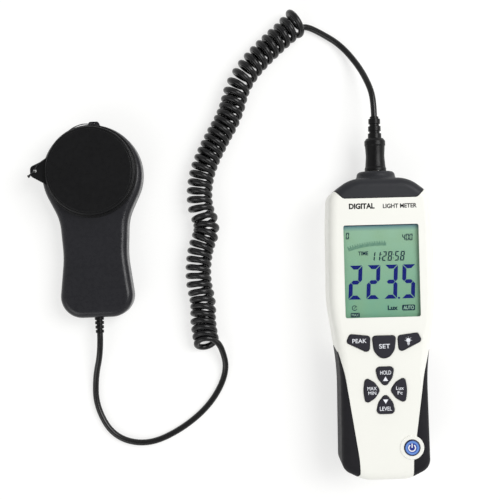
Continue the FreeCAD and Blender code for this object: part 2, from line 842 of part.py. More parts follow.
def head_upper_shell():
    shell = head_shell().common(layer(HEAD_PARTING_Z, HEAD_THICK + PAST))
    turret = upright(TURRET_R, 0.0, 0.0, HEAD_THICK - HEAD_WALL, TURRET_TOP_Z)
    turret = softened(turret, TURRET_TOP_Z, 0.4)
    lug = prism(mirrored([(LUG_HALF_W + 0.9, 26.4, 0.0), (LUG_HALF_W - 0.6, LUG_REACH, 1.4)]),
                LUG_Z, LUG_Z + LUG_THICK)
    lug.translate(V(LUG_X, 0, 0))
    bosses = [upright(2.6, x, y, HEAD_PARTING_Z, HEAD_THICK - 1.0) for x, y in HEAD_SCREWS]
    body = fused([shell, turret, lug] + bosses)
    seat = upright(SEAT_R, 0.0, 0.0, SEAT_Z, TURRET_TOP_Z + PAST)
    well = upright(WELL_R, 0.0, 0.0, HEAD_BOARD_Z, TURRET_TOP_Z + PAST)
    eye = upright(LUG_HOLE_R, LUG_X, LUG_HOLE_Y, 0.0, HEAD_THICK)
    pilots = [upright(0.9, x, y, 0.0, 14.5) for x, y in HEAD_SCREWS]
    return body.cut([seat, well, eye, boot_seat()] + pilots)


def head_lower_shell():
    shell = head_shell().common(layer(-PAST, HEAD_PARTING_Z))
    bosses = [upright(2.6, x, y, 1.0, HEAD_PARTING_Z) for x, y in HEAD_SCREWS]
    posts = [upright(2.0, x, 0.0, 1.5, HEAD_BOARD_Z) for x in (-12.0, 12.0)]
    body = fused([shell] + bosses + posts)
    heads = [upright(2.3, x, y, -PAST, 3.0) for x, y in HEAD_SCREWS]
    shanks = [upright(1.2, x, y, -PAST, HEAD_THICK) for x, y in HEAD_SCREWS]
    return body.cut([boot_seat()] + heads + shanks)


def head_screws():
    screws = []
    for x, y in HEAD_SCREWS:
        profile = [
            (0.0, 1.2, 0.0),
            (2.0, 1.2, 0.4),
            (2.0, 2.95, 0.0),
            (0.85, 2.95, 0.0),
            (0.85, 14.0, 0.0),
            (0.0, 14.0, 0.0),
        ]
        screws.append(turned_upright(profile, x, y))
    return group(screws)


def diffuser_dome():
    """A low white dome with a flat rim; its hollow underside faces the photodiode."""
    rim_top = SEAT_Z + DOME_RIM_THICK
    rise = DOME_TOP_Z - rim_top
    sphere_r = (DOME_R * DOME_R + rise * rise) / (2 * rise)
    centre_z = DOME_TOP_Z - sphere_r
    ball = Part.makeSphere(sphere_r, V(0, 0, centre_z))
    cap = ball.common(upright(DOME_R, 0.0, 0.0, rim_top - 0.2, CAP_TOP_Z))
    rim = upright(SEAT_R - 0.2, 0.0, 0.0, SEAT_Z, rim_top)
    hollow = Part.makeSphere(sphere_r, V(0, 0, centre_z - DOME_WALL))
    hollow = hollow.common(upright(16.5, 0.0, 0.0, HEAD_BOARD_Z, CAP_TOP_Z))
    return fused([rim, cap]).cut(hollow)


def diffuser_ring():
    """The ring that clamps the dome's rim into its seat."""
    low = SEAT_Z + DOME_RIM_THICK
    outer_r = SEAT_R - 0.1
    return turned_upright([
        (DOME_R + 0.4, low, 0.0),
        (outer_r, low, 0.0),
        (outer_r, TURRET_TOP_Z, 0.0),
        (DOME_R + 0.7, TURRET_TOP_Z, 0.5),
    ], 0.0, 0.0)


def head_circuit_board():
    board = upright(16.5, 0.0, 0.0, HEAD_BOARD_Z, HEAD_BOARD_Z + HEAD_BOARD_THICK)
    return board.cut([upright(1.0, x, 0.0, 5.0, 20.0) for x in (-12.0, 12.0)])


def photodiode():
    low = HEAD_BOARD_Z + HEAD_BOARD_THICK
    return turned_upright([
        (0.0, low, 0.0),
        (4.6, low, 0.0),
        (4.6, low + 0.5, 0.0),
        (4.0, low + 0.5, 0.0),
        (4.0, low + DIODE_HEIGHT, 0.5),
        (0.0, low + DIODE_HEIGHT, 0.0),
    ], 0.0, 0.0)


def filter_glass():
    low = HEAD_BOARD_Z + HEAD_BOARD_THICK + DIODE_HEIGHT
    return softened(upright(4.4, 0.0, 0.0, low, low + 1.4), low + 1.4, 0.2)


def head_wires():
    """The cord's inner leads, from the boot to the head's circuit board."""
    route = [
        (0.0, HEAD_END_Y + 3.0, HEAD_BOOT_Z),
        (0.0, -50.0, HEAD_BOOT_Z),
        (1.0, -20.0, 7.5),
        (0.0, -8.0, 6.5),
        (0.0, -8.0, HEAD_BOARD_Z),
    ]
    return tube(route, 0.9)[0]


def head_boot():
    profile = strain_boot(0.0, HEAD_BOOT_LENGTH, HEAD_BOOT_R, 4, 2.5)
    ribs = turned_along_y(profile, 0.0)
    collar = turned_along_y([
        (CORD_R - 0.4, -3.4, 0.0),
        (HEAD_BOOT_R + 0.9, -3.4, 0.3),
        (HEAD_BOOT_R + 0.9, -2.1, 0.0),
        (HEAD_BOOT_R - 0.45, -2.1, 0.0),
        (HEAD_BOOT_R - 0.45, 0.0, 0.0),
        (CORD_R - 0.4, 0.0, 0.0),
    ], 0.0)
    boot = fused([ribs, collar])
    boot.rotate(V(0, 0, 0), V(0, 0, 1), 180)
    boot.translate(V(0, HEAD_END_Y, HEAD_BOOT_Z))
    return boot


def sensor_cap():
    step_z = CAP_TOP_Z - CAP_STEP
    flange_z = CAP_LOW_Z + 1.3
    cup = turned_upright([
        (0.0, CAP_TOP_Z - CAP_TOP_THICK, 0.0),
        (CAP_BORE_R - 0.9, CAP_TOP_Z - CAP_TOP_THICK, 0.0),
        (CAP_BORE_R, CAP_TOP_Z - CAP_TOP_THICK - 0.9, 0.0),
        (CAP_BORE_R, CAP_LOW_Z, 0.0),
        (CAP_FLANGE_R, CAP_LOW_Z, 0.2),
        (CAP_FLANGE_R, flange_z, 0.6),
        (CAP_SKIRT_R, flange_z + 0.1, 0.3),
        (CAP_SKIRT_R, step_z, 0.9),
        (CAP_DISC_R, step_z - 0.1, 0.2),
        (CAP_DISC_R, CAP_TOP_Z, 0.3),
        (0.0, CAP_TOP_Z, 0.0),
    ], 0.0, 0.0)
    tab = prism([
        (-23.5, 9.4, 0.0),
        (TAB_END_X, 3.8, TAB_TIP_R),
        (TAB_END_X, -1.7, TAB_TIP_R),
        (-23.5, -9.0, 0.0),
    ], CAP_LOW_Z, CAP_LOW_Z + TAB_THICK)
    tab = tab.cut(upright(CAP_BORE_R + 0.4, 0.0, 0.0, 0.0, CAP_TOP_Z))
    return fused([cup, tab]).cut(upright(TAB_HOLE_R, TAB_HOLE_X, TAB_HOLE_Y, 0.0, CAP_TOP_Z))


# ---- placing and writing ----

METER = FreeCAD.Placement(V(METER_X, METER_Y, 0), FreeCAD.Rotation())
HEAD = FreeCAD.Placement(V(HEAD_X, HEAD_Y, 0), FreeCAD.Rotation(V(0, 0, 1), HEAD_LEAN))

METER_PIECES = {
    "front_housing": front_housing,
    "rear_housing": rear_housing,
    "left_grip": lambda: grip(-1),
    "right_grip": lambda: grip(1),
    "top_cap": top_cap,
    "battery_door": battery_door,
    "housing_screws": housing_screws,
    "tripod_insert": tripod_insert,
    "display_window": display_window,
    "display_panel": display_panel,
    "display_frame": display_frame,
    "backlight_plate": backlight_plate,
    "main_circuit_board": main_circuit_board,
    "board_screws": board_screws,
    "circuit_chips": circuit_chips,
    "buzzer": buzzer,
    "snap_domes": snap_domes,
    "battery": battery,
    "battery_terminals": battery_terminals,
    "battery_snap": battery_snap,
    "battery_leads": battery_leads,
    "probe_socket": probe_socket,
    "socket_core": socket_core,
    "socket_contacts": socket_contacts,
    "plug_shell": plug_shell,
    "plug_pins": plug_pins,
    "plug_body": plug_body,
    "plug_boot": plug_boot,
}

HEAD_PIECES = {
    "head_upper_shell": head_upper_shell,
    "head_lower_shell": head_lower_shell,
    "head_screws": head_screws,
    "diffuser_dome": diffuser_dome,
    "diffuser_ring": diffuser_ring,
    "head_circuit_board": head_circuit_board,
    "photodiode": photodiode,
    "filter_glass": filter_glass,
    "head_wires": head_wires,
    "head_boot": head_boot,
    "sensor_cap": sensor_cap,
}

CORD_PIECES = {
    "lead_plug_side": (LEAD_PLUG_SIDE, CORD_R),
    "curly_cord": (CURLY_AXIS, COIL_R),
    "lead_head_side": (LEAD_HEAD_SIDE, CORD_R),
    "cap_tether": (CAP_TETHER, TETHER_R),
}


def save(name, shape, place=FreeCAD.Placement()):
    placed = shape.copy()
    placed.Placement = place.multiply(placed.Placement)
    placed.exportStep("parts/" + name + ".step")
    box = placed.BoundBox
    print(name, "solids", len(placed.Solids), "valid", placed.isValid(), "volume", round(placed.Volume, 1))
    return box


def main():
    os.makedirs("parts", exist_ok=True)
    footprint = FreeCAD.BoundBox()
    for name, make in METER_PIECES.items():
        box = save(name, make(), METER)
        if not name.startswith("plug"):
            footprint.add(box)
    for name in KEYS:
        save(name, key(name), METER)
    for name, make in HEAD_PIECES.items():
        box = save(name, make(), HEAD)
        if name != "head_boot":
            footprint.add(box)
    for name, (route, r) in CORD_PIECES.items():
        solid, radii, length = tube(route, r)
        save(name, solid)
        print("  length", round(length, 1), "volume by length", round(math.pi * r * r * length, 1))
        print("  radii", [round(value, 1) for value in radii])
    print("footprint", footprint)


main()
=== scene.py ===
import json
import math

import bmesh
import bpy
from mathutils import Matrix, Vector


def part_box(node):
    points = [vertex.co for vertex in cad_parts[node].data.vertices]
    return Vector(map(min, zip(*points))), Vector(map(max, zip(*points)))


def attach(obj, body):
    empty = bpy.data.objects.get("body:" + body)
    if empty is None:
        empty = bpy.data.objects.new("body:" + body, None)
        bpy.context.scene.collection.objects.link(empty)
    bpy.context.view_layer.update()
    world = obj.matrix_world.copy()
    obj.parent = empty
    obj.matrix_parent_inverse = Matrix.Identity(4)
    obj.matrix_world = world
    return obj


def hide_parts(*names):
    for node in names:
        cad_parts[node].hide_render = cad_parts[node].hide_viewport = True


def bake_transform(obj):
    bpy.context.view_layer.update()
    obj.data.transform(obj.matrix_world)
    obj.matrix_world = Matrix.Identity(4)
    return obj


# The looks of a hand-held light meter with its sensor head on a curly lead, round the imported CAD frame.
# Every place is in metres in the frame's own axes: the meter and the head lie on z = 0, faces up.
# Prints on the meter are placed in millimetres about its long axis, x = 0, from just below its lower end.

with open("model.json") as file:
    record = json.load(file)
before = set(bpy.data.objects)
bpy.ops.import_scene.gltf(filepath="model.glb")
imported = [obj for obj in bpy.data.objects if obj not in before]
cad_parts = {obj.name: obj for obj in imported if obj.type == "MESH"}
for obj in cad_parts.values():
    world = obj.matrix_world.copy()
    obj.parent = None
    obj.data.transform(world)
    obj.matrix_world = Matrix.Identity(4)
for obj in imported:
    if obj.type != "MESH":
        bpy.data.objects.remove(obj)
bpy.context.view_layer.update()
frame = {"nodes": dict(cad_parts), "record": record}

MM = 0.001


def middle(node):
    low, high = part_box(node)
    return (low + high) / 2


def top(node):
    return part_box(node)[1].z


# The display's window gives the meter's place
WINDOW_Y = 125.7
WINDOW_LOW_Y = 98.8
WINDOW_TOP_Y = 152.6
METER = middle("display_window") - Vector((0.0, WINDOW_Y, 0.0)) * MM


# ---- materials ----

def srgb(r, g, b):
    """A screen colour, 0 to 255, as the linear colour that shaders use."""
    shares = [v / 255 for v in (r, g, b)]
    return (*[v / 12.92 if v <= 0.04045 else ((v + 0.055) / 1.055) ** 2.4 for v in shares], 1.0)


class Tree:
    """A material whose nodes are added one call at a time."""

    def __init__(self, name):
        self.material = bpy.data.materials.new(name)
        self.material.use_nodes = True
        self.nodes = self.material.node_tree.nodes
        self.links = self.material.node_tree.links
        self.shader = self.nodes["Principled BSDF"]
        self.output = self.nodes["Material Output"]
        self.place = self.node("ShaderNodeTexCoord").outputs["Object"]

    def put(self, socket, value):
        if isinstance(value, bpy.types.NodeSocket):
            self.links.new(value, socket)
        else:
            socket.default_value = value

    def node(self, kind, inputs=None, **settings):
        node = self.nodes.new(kind)
        for key, value in settings.items():
            setattr(node, key, value)
        for key, value in (inputs or {}).items():
            self.put(node.inputs[key], value)
        return node

    def noise(self, size, detail=3.0, stretch=(1, 1, 1)):
        """Noise whose blotches are about this many millimetres wide, stretched along the axes."""
        place = self.node("ShaderNodeMapping", {"Vector": self.place, "Scale": stretch}).outputs["Vector"]
        inputs = {"Vector": place, "Scale": 1 / (size * MM), "Detail": detail}
        return self.node("ShaderNodeTexNoise", inputs)

    def spread(self, value, low, high, start=0.3, end=0.7):
        """The value brought from the range start to end into the range low to high."""
        inputs = {"Value": value, "From Min": start, "From Max": end, "To Min": low, "To Max": high}
        return self.node("ShaderNodeMapRange", inputs).outputs["Result"]

    def blended(self, share, a, b):
        return self.node("ShaderNodeMix", {0: share, 6: a, 7: b}, data_type="RGBA").outputs[2]

    def away_from(self, centre):
        """The distance in millimetres from an upright axis."""
        inputs = {0: self.place, 1: (1, 1, 0)}
        flat = self.node("ShaderNodeVectorMath", inputs, operation="MULTIPLY").outputs[0]
        inputs = {0: flat, 1: (centre.x, centre.y, 0)}
        metres = self.node("ShaderNodeVectorMath", inputs, operation="DISTANCE").outputs["Value"]
        return self.node("ShaderNodeMath", {0: metres, 1: 1 / MM}, operation="MULTIPLY").outputs[0]

    def height_of(self, axis):
        """One coordinate, in millimetres."""
        split = self.node("ShaderNodeSeparateXYZ", {0: self.place}).outputs[axis]
        return self.node("ShaderNodeMath", {0: split, 1: 1 / MM}, operation="MULTIPLY").outputs[0]

    def rough(self, height, depth, strength=1.0):
        """Bumps of this depth in millimetres."""
        inputs = {"Height": height, "Distance": depth * MM, "Strength": strength}
        self.put(self.shader.inputs["Normal"], self.node("ShaderNodeBump", inputs).outputs["Normal"])


def shade(colour, k):
    """The colour made lighter or darker by a factor."""
    return (*[min(1.0, v * k) for v in colour[:3]], 1.0)


def moulded(name, colour, roughness, grain, depth, mottle, specular=0.5, metal=0.0, stretch=(1, 1, 1)):
    """A moulded or machined surface: slight mottling, uneven gloss, and a grain of this width and depth."""
    tree = Tree(name)
    wide = tree.noise(14.0, 4.0).outputs["Fac"]
    darker, lighter = shade(colour, 1 - mottle), shade(colour, 1 + mottle)
    tree.put(tree.shader.inputs["Base Color"], tree.blended(tree.spread(wide, 0.0, 1.0), darker, lighter))
    worn = tree.noise(2.6, 5.0, stretch).outputs["Fac"]
    tree.put(tree.shader.inputs["Roughness"], tree.spread(worn, roughness - 0.06, roughness + 0.07))
    tree.put(tree.shader.inputs["Specular IOR Level"], specular)
    tree.put(tree.shader.inputs["Metallic"], metal)
    tree.rough(tree.noise(grain, 3.0, stretch).outputs["Fac"], depth)
    return tree.material


def board_green():
    """A lacquered board: darker tracks between wide copper areas."""
    tree = Tree("board_green")
    inputs = {"Vector": tree.place, "Scale": 1 / (1.9 * MM)}
    tracks = tree.node("ShaderNodeTexVoronoi", inputs, distance="MANHATTAN").outputs["Distance"]
    share = tree.spread(tracks, 0.0, 1.0, 0.35, 0.5)
    tree.put(tree.shader.inputs["Base Color"], tree.blended(share, srgb(22, 92, 52), srgb(14, 62, 38)))
    tree.put(tree.shader.inputs["Roughness"], tree.spread(tree.noise(1.2).outputs["Fac"], 0.28, 0.42))
    tree.rough(share, 0.03)
    return tree.material


def display_green():
    """The display's grey-green film, greener further down; the darker, bluer band along its upper edge is a
    painted shadow of the window's rim.
    """
    tree = Tree("display_green")
    y = tree.height_of("Y")
    low = METER.y / MM + WINDOW_LOW_Y
    slow = tree.noise(9.0, 2.0).outputs["Fac"]
    upper, lower = srgb(156, 192, 166), srgb(121, 171, 145)
    film = tree.blended(tree.spread(y, 0.0, 1.0, low, low + 54.0), lower, upper)
    film = tree.blended(tree.spread(slow, 0.0, 0.35), film, srgb(143, 175, 134))
    # painted shadow: the window's rim shading the film's upper edge, as a darker blue band
    film = tree.blended(tree.spread(y, 0.0, 1.0, low + 50.2, low + 53.4), film, srgb(102, 142, 154))
    tree.put(tree.shader.inputs["Base Color"], film)
    tree.put(tree.shader.inputs["Specular IOR Level"], 0.2)
    tree.put(tree.shader.inputs["Roughness"], tree.spread(tree.noise(0.5).outputs["Fac"], 0.3, 0.42))
    grid = tree.node("ShaderNodeTexVoronoi", {"Vector": tree.place, "Scale": 1 / (0.3 * MM)})
    tree.rough(grid.outputs["Distance"], 0.004)
    return tree.material


def window_clear():
    """A clear window: see-through, with a thin reflection and very fine hairlines."""
    tree = Tree("window_clear")
    hair = tree.noise(0.7, 4.0, (0.15, 1, 1)).outputs["Fac"]
    inputs = {"Height": hair, "Distance": 0.002 * MM, "Strength": 0.5}
    bump = tree.node("ShaderNodeBump", inputs).outputs["Normal"]
    clear = tree.node("ShaderNodeBsdfTransparent", {"Color": (0.965, 0.98, 0.975, 1)}).outputs[0]
    gloss = tree.node("ShaderNodeBsdfGlossy", {"Roughness": tree.spread(hair, 0.04, 0.12), "Normal": bump})
    # the same share on both sides of the pane, rising steeply towards a glancing view
    facing = tree.node("ShaderNodeLayerWeight", {"Blend": 0.5, "Normal": bump}).outputs["Facing"]
    steep = tree.node("ShaderNodeMath", {0: facing, 1: 5.0}, operation="POWER").outputs[0]
    share = tree.spread(steep, 0.014, 0.8, 0.0, 1.0)
    mix = tree.node("ShaderNodeMixShader", {0: share, 1: clear, 2: gloss.outputs[0]})
    tree.put(tree.output.inputs["Surface"], mix.outputs[0])
    return tree.material


def power_blue():
    """The round power key: a navy rim, a light blue ring and a dark blue middle."""
    tree = Tree("power_blue")
    r = tree.away_from(middle("power_key"))
    edge = 5.0
    rings = [(0.0, (22, 40, 128)), (2.3, (26, 46, 136)), (2.75, (44, 78, 168)), (3.1, (104, 146, 214)),
             (3.75, (98, 138, 208)), (4.1, (34, 52, 120)), (4.4, (10, 16, 48)), (edge, (10, 15, 42))]
    ramp = tree.node("ShaderNodeValToRGB", {"Fac": tree.spread(r, 0.0, 1.0, 0.0, edge)})
    stops = ramp.color_ramp.elements
    stops[0].color = srgb(*rings[0][1])
    stops[1].position = 1.0
    stops[1].color = srgb(*rings[-1][1])
    for radius, colour in rings[1:-1]:
        stops.new(radius / edge).color = srgb(*colour)
    tree.put(tree.shader.inputs["Base Color"], ramp.outputs["Color"])
    tree.put(tree.shader.inputs["Roughness"], tree.spread(tree.noise(0.8).outputs["Fac"], 0.3, 0.44))
    tree.rough(tree.noise(0.3).outputs["Fac"], 0.008)
    return tree.material


def cord_pvc():
    """Soft black PVC: satin, with a faint bloom and fine drawing marks."""
    tree = Tree("cord_pvc")
    bloom = tree.noise(5.0, 4.0).outputs["Fac"]
    tree.put(tree.shader.inputs["Base Color"],
             tree.blended(tree.spread(bloom, 0.0, 1.0), srgb(9, 9, 10), srgb(17, 17, 18)))
    tree.put(tree.shader.inputs["Roughness"], tree.spread(tree.noise(1.4, 5.0).outputs["Fac"], 0.22, 0.32))
    tree.put(tree.shader.inputs["Specular IOR Level"], 0.4)
    tree.rough(tree.noise(0.45, 4.0).outputs["Fac"], 0.016)
    return tree.material


def thread_black():
    """Twisted black thread."""
    tree = Tree("tether_thread")
    inputs = {"Vector": tree.place, "Scale": 1 / (1.1 * MM), "Distortion": 1.5}
    strands = tree.node("ShaderNodeTexWave", inputs, bands_direction="DIAGONAL").outputs["Fac"]
    tree.put(tree.shader.inputs["Base Color"], tree.blended(strands, srgb(12, 12, 13), srgb(46, 46, 48)))
    tree.put(tree.shader.inputs["Roughness"], tree.spread(strands, 0.55, 0.75, 0.0, 1.0))
    tree.rough(strands, 0.03)
    return tree.material


def contact_metal():
    """Drawn strip, with its grain along it."""
    bright = srgb(206, 204, 198)
    return moulded("contact_metal", bright, 0.28, 0.2, 0.006, 0.04, metal=1.0, stretch=(1, 0.1, 1))


# Each slot's colour, roughness, grain width and depth in millimetres, mottling and, if not 0.5, specular
PLASTICS = {
    "housing_plastic": (srgb(238, 238, 231), 0.42, 0.5, 0.006, 0.008, 0.4),
    "grip_rubber": (srgb(27, 26, 30), 0.58, 0.28, 0.03, 0.09, 0.17),
    "cap_plastic": (srgb(38, 39, 43), 0.46, 0.32, 0.02, 0.05, 0.26),
    "key_rubber": (srgb(36, 35, 44), 0.5, 0.3, 0.02, 0.06, 0.24),
    "frame_plastic": (srgb(214, 216, 214), 0.5, 0.4, 0.01, 0.03),
    "backlight_plastic": (srgb(236, 238, 232), 0.35, 0.5, 0.006, 0.02),
    "chip_black": (srgb(34, 34, 36), 0.6, 0.2, 0.01, 0.08),
    "battery_jacket": (srgb(60, 66, 84), 0.32, 0.6, 0.006, 0.08),
    "snap_plastic": (srgb(36, 36, 38), 0.55, 0.35, 0.012, 0.06),
    "socket_plastic": (srgb(34, 34, 36), 0.45, 0.3, 0.012, 0.06),
    "plug_plastic": (srgb(12, 12, 13), 0.34, 0.3, 0.014, 0.08, 0.22),
    "head_plastic": (srgb(30, 30, 34), 0.28, 0.34, 0.012, 0.06, 0.36),
    "sensor_cap_plastic": (srgb(20, 20, 21), 0.3, 0.3, 0.01, 0.06, 0.17),
    "diffuser_white": (srgb(240, 240, 236), 0.55, 0.4, 0.006, 0.01),
    "ring_black": (srgb(28, 28, 30), 0.4, 0.25, 0.01, 0.06),
    "filter_glass": (srgb(96, 128, 112), 0.12, 0.8, 0.002, 0.05, 0.6),
    "wire_insulation": (srgb(150, 34, 30), 0.4, 0.4, 0.01, 0.08),
}
METALS = {
    "contact_gold": (srgb(222, 184, 96), 0.25, 0.2, 0.004, 0.05),
    "screw_steel": (srgb(168, 168, 170), 0.34, 0.25, 0.01, 0.07),
    "insert_brass": (srgb(196, 160, 92), 0.36, 0.3, 0.012, 0.07),
    "diode_metal": (srgb(190, 186, 176), 0.3, 0.25, 0.006, 0.05),
}
SPECIAL = {
    "power_blue": power_blue,
    "window_clear": window_clear,
    "display_green": display_green,
    "board_green": board_green,
    "contact_metal": contact_metal,
    "cord_pvc": cord_pvc,
    "tether_thread": thread_black,
}


def made_materials():
    """The material of every slot, by the slot's name."""
    plastics = {slot: moulded(slot, *values) for slot, values in PLASTICS.items()}
    metals = {slot: moulded(slot, *values, metal=1.0) for slot, values in METALS.items()}
    special = {slot: make() for slot, make in SPECIAL.items()}
    return {**plastics, **metals, **special}


def dress(thing, material):
    """Gives every face of a mesh one material."""
    thing.data.materials.clear()
    thing.data.materials.append(material)
    for face in thing.data.polygons:
        face.material_index = 0


def dress_frame(materials):
    """Gives each CAD piece the material of its slot."""
    for part in frame["record"]["subparts"]:
        dress(frame["nodes"][part["node"]], materials[part["material_slot"]])


# ---- prints ----

def shown(name, data, body, material):
    """A new object in the scene, riding on a body if one is named."""
    thing = bpy.data.objects.new(name, data)
    bpy.context.scene.collection.objects.link(thing)
    data.materials.append(material)
    if body:
        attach(thing, body)
    return thing


class Print:
    """Flat ink on the meter at one height; its shapes are given in millimetres."""

    def __init__(self, height):
        self.shapes = bmesh.new()
        self.height = height

    def polygon(self, points):
        if sum(a[0] * b[1] - b[0] * a[1] for a, b in zip(points, points[1:] + points[:1])) < 0:
            points = points[::-1]
        corners = [(METER.x + x * MM, METER.y + y * MM, self.height) for x, y in points]
        self.shapes.faces.new([self.shapes.verts.new(c) for c in corners])

    def bar(self, x0, y0, x1, y1, width):
        """A straight stroke from one point to another."""
        along = Vector((x1 - x0, y1 - y0)).normalized() * width / 2
        side = Vector((-along.y, along.x))
        a, b = Vector((x0, y0)), Vector((x1, y1))
        self.polygon([tuple(p) for p in (a - side, b - side, b + side, a + side)])

    def arc(self, x, y, r, width, start, end, steps):
        """A curved stroke about a centre, between two angles in degrees."""
        angles = [math.radians(start + (end - start) * i / steps) for i in range(steps + 1)]
        for a, b in zip(angles, angles[1:]):
            quad = [(r - width / 2, a), (r + width / 2, a), (r + width / 2, b), (r - width / 2, b)]
            self.polygon([(x + q * math.cos(t), y + q * math.sin(t)) for q, t in quad])

    def dot(self, x, y, r, steps=16):
        angles = [2 * math.pi * i / steps for i in range(steps)]
        self.polygon([(x + r * math.cos(t), y + r * math.sin(t)) for t in angles])

    def plate(self, x0, y0, x1, y1, r, steps=6):
        """A rounded rectangle."""
        points = []
        left, right, low, high = x0 + r, x1 - r, y0 + r, y1 - r
        for x, y, turn in ((right, high, 0), (left, high, 90), (left, low, 180), (right, low, 270)):
            for i in range(steps + 1):
                t = math.radians(turn + 90 * i / steps)
                points.append((x + r * math.cos(t), y + r * math.sin(t)))
        self.polygon(points)

    def word(self, text, x0, y0, x1, y1, bold=0.0):
        """A word that fills this box."""
        letters = bpy.data.curves.new("word", "FONT")
        letters.body = text
        letters.offset = bold
        holder = bpy.data.objects.new("word", letters)
        mesh = bpy.data.meshes.new_from_object(holder)
        xs = [v.co.x for v in mesh.vertices]
        ys = [v.co.y for v in mesh.vertices]
        wide = (x1 - x0) / (max(xs) - min(xs))
        high = (y1 - y0) / (max(ys) - min(ys))
        for face in mesh.polygons:
            corners = [mesh.vertices[i].co for i in face.vertices]
            self.polygon([(x0 + (c.x - min(xs)) * wide, y0 + (c.y - min(ys)) * high) for c in corners])
        bpy.data.meshes.remove(mesh)
        bpy.data.curves.remove(letters)

    def digit(self, figure, x, y, width, height, stroke, gap, slant):
        """A seven-segment figure about a centre; width is from stroke to stroke, height is over all."""
        w = width / 2
        t = stroke / 2
        h = height / 2 - t
        half = gap / 2
        upper = [(w + t, h + t - gap), (w - t, h - t - gap), (w - t, t + half), (w, half), (w + t, t + half)]
        middle_bar = [(w - gap, 0), (w - t - half, t), (t - w + half, t), (gap - w, 0),
                      (t - w + half, -t), (w - t - half, -t)]
        flat = [(-w - t + gap, h + t), (w + t - gap, h + t), (w - t - gap, h - t), (t - w + gap, h - t)]
        segments = {
            "a": flat,
            "b": upper,
            "c": [(px, -py) for px, py in upper],
            "d": [(px, -py) for px, py in flat],
            "e": [(-px, -py) for px, py in upper],
            "f": [(-px, py) for px, py in upper],
            "g": middle_bar,
        }
        tilt = math.tan(math.radians(slant))
        for name in FIGURES[figure]:
            self.polygon([(x + px + py * tilt, y + py) for px, py in segments[name]])

    def made(self, name, body, material):
        """The finished print, riding on a body."""
        mesh = bpy.data.meshes.new(name)
        bmesh.ops.remove_doubles(self.shapes, verts=self.shapes.verts, dist=0.002 * MM)
        self.shapes.to_mesh(mesh)
        self.shapes.free()
        return shown(name, mesh, body, material)


PRINT_LIFT = 0.02 * MM
FIGURES = {"0": "abcdef", "1": "bc", "2": "abged", "3": "abgcd", "4": "fgbc", "5": "afgcd", "8": "abcdefg"}


def ink(name, colour, roughness=0.5):
    return moulded(name, colour, roughness, 0.25, 0.004, 0.05, 0.12)


def display_prints():
    """Everything that the display shows, on its film just under the window."""
    film = top("display_panel") + 0.06 * MM
    navy = ink("segment_navy", srgb(1, 20, 116))
    teal = ink("segment_teal", srgb(16, 46, 62))
    faint = ink("segment_faint", srgb(84, 128, 112))
    light = ink("segment_light", srgb(168, 206, 184))

    reading = Print(film)
    for figure, x in (("2", -15.35), ("2", -4.9), ("3", 5.3), ("5", 15.65)):
        reading.digit(figure, x, 119.3, 5.35, 19.75, 2.3, 0.3, 3.0)
    reading.dot(9.75, 109.8, 0.62)
    reading.made("display_reading", "meter", navy)

    marks = Print(film)
    for figure, x in (("1", -4.75), ("1", -1.6), ("2", 1.9), ("8", 5.17), ("5", 9.2), ("8", 12.4)):
        marks.digit(figure, x, 134.25, 1.7, 5.6, 0.72, 0.1, 8.0)
    for x in (0.0, 7.15):
        marks.dot(x - 0.12, 133.1, 0.26, 10)
        marks.dot(x + 0.12, 135.2, 0.26, 10)
    marks.word("TIME", -13.3, 135.0, -7.5, 137.3, 0.03)
    marks.digit("0", -19.3, 146.5, 1.25, 3.8, 0.58, 0.08, 4.0)
    for figure, x in (("4", 13.4), ("0", 15.5), ("0", 17.6)):
        marks.digit(figure, x, 145.0, 1.25, 3.8, 0.55, 0.08, 4.0)
    marks.word("Lux", 3.0, 102.7, 9.0, 105.5, 0.05)
    marks.arc(-16.25, 104.45, 1.35, 0.42, 20.0, 340.0, 28)
    marks.bar(-16.25, 104.45, -15.5, 105.2, 0.36)
    marks.bar(-16.25, 104.45, -16.7, 104.1, 0.26)
    marks.plate(11.4, 102.3, 19.0, 105.7, 0.8)
    marks.plate(-18.6, 99.05, -13.3, 101.7, 0.5)
    # painted shadow: dark lines along the window's upper and left edges, where its rim shades the film
    marks.bar(-21.9, WINDOW_TOP_Y - 0.15, 21.9, WINDOW_TOP_Y - 0.15, 0.5)
    marks.bar(-21.8, WINDOW_LOW_Y, -21.8, WINDOW_TOP_Y - 0.3, 0.2)
    marks.made("display_marks", "meter", teal)

    letters = Print(film + 0.04 * MM)
    letters.word("AUTO", 12.2, 102.95, 18.3, 105.1, 0.02)
    letters.word("MAX", -18.0, 99.6, -13.9, 101.2)
    letters.made("display_badge_letters", "meter", light)

    # the bargraph: short strokes along a shallow arc between two points
    scale = Print(film)
    r, count = 62.0, 32
    x0, y0, x1, y1 = -18.8, 138.6, 2.85, 141.5
    half = math.hypot(x1 - x0, y1 - y0) / 2
    across = Vector((x1 - x0, y1 - y0)).normalized()
    down = Vector((across.y, -across.x))
    centre = Vector(((x0 + x1) / 2, (y0 + y1) / 2)) + down * math.sqrt(r * r - half * half)
    sweep = math.asin(half / r)
    lean = math.atan2(across.y, across.x)
    for i in range(count):
        t = math.pi / 2 + lean + sweep - 2 * sweep * i / (count - 1)
        reach = 1.7 if i % 2 == 0 else 0.7
        ray = Vector((math.cos(t), math.sin(t)))
        start, end = centre + ray * (r - 1.1), centre + ray * (r + reach)
        scale.bar(*start, *end, 0.42)
    scale.made("display_bargraph", "meter", faint)


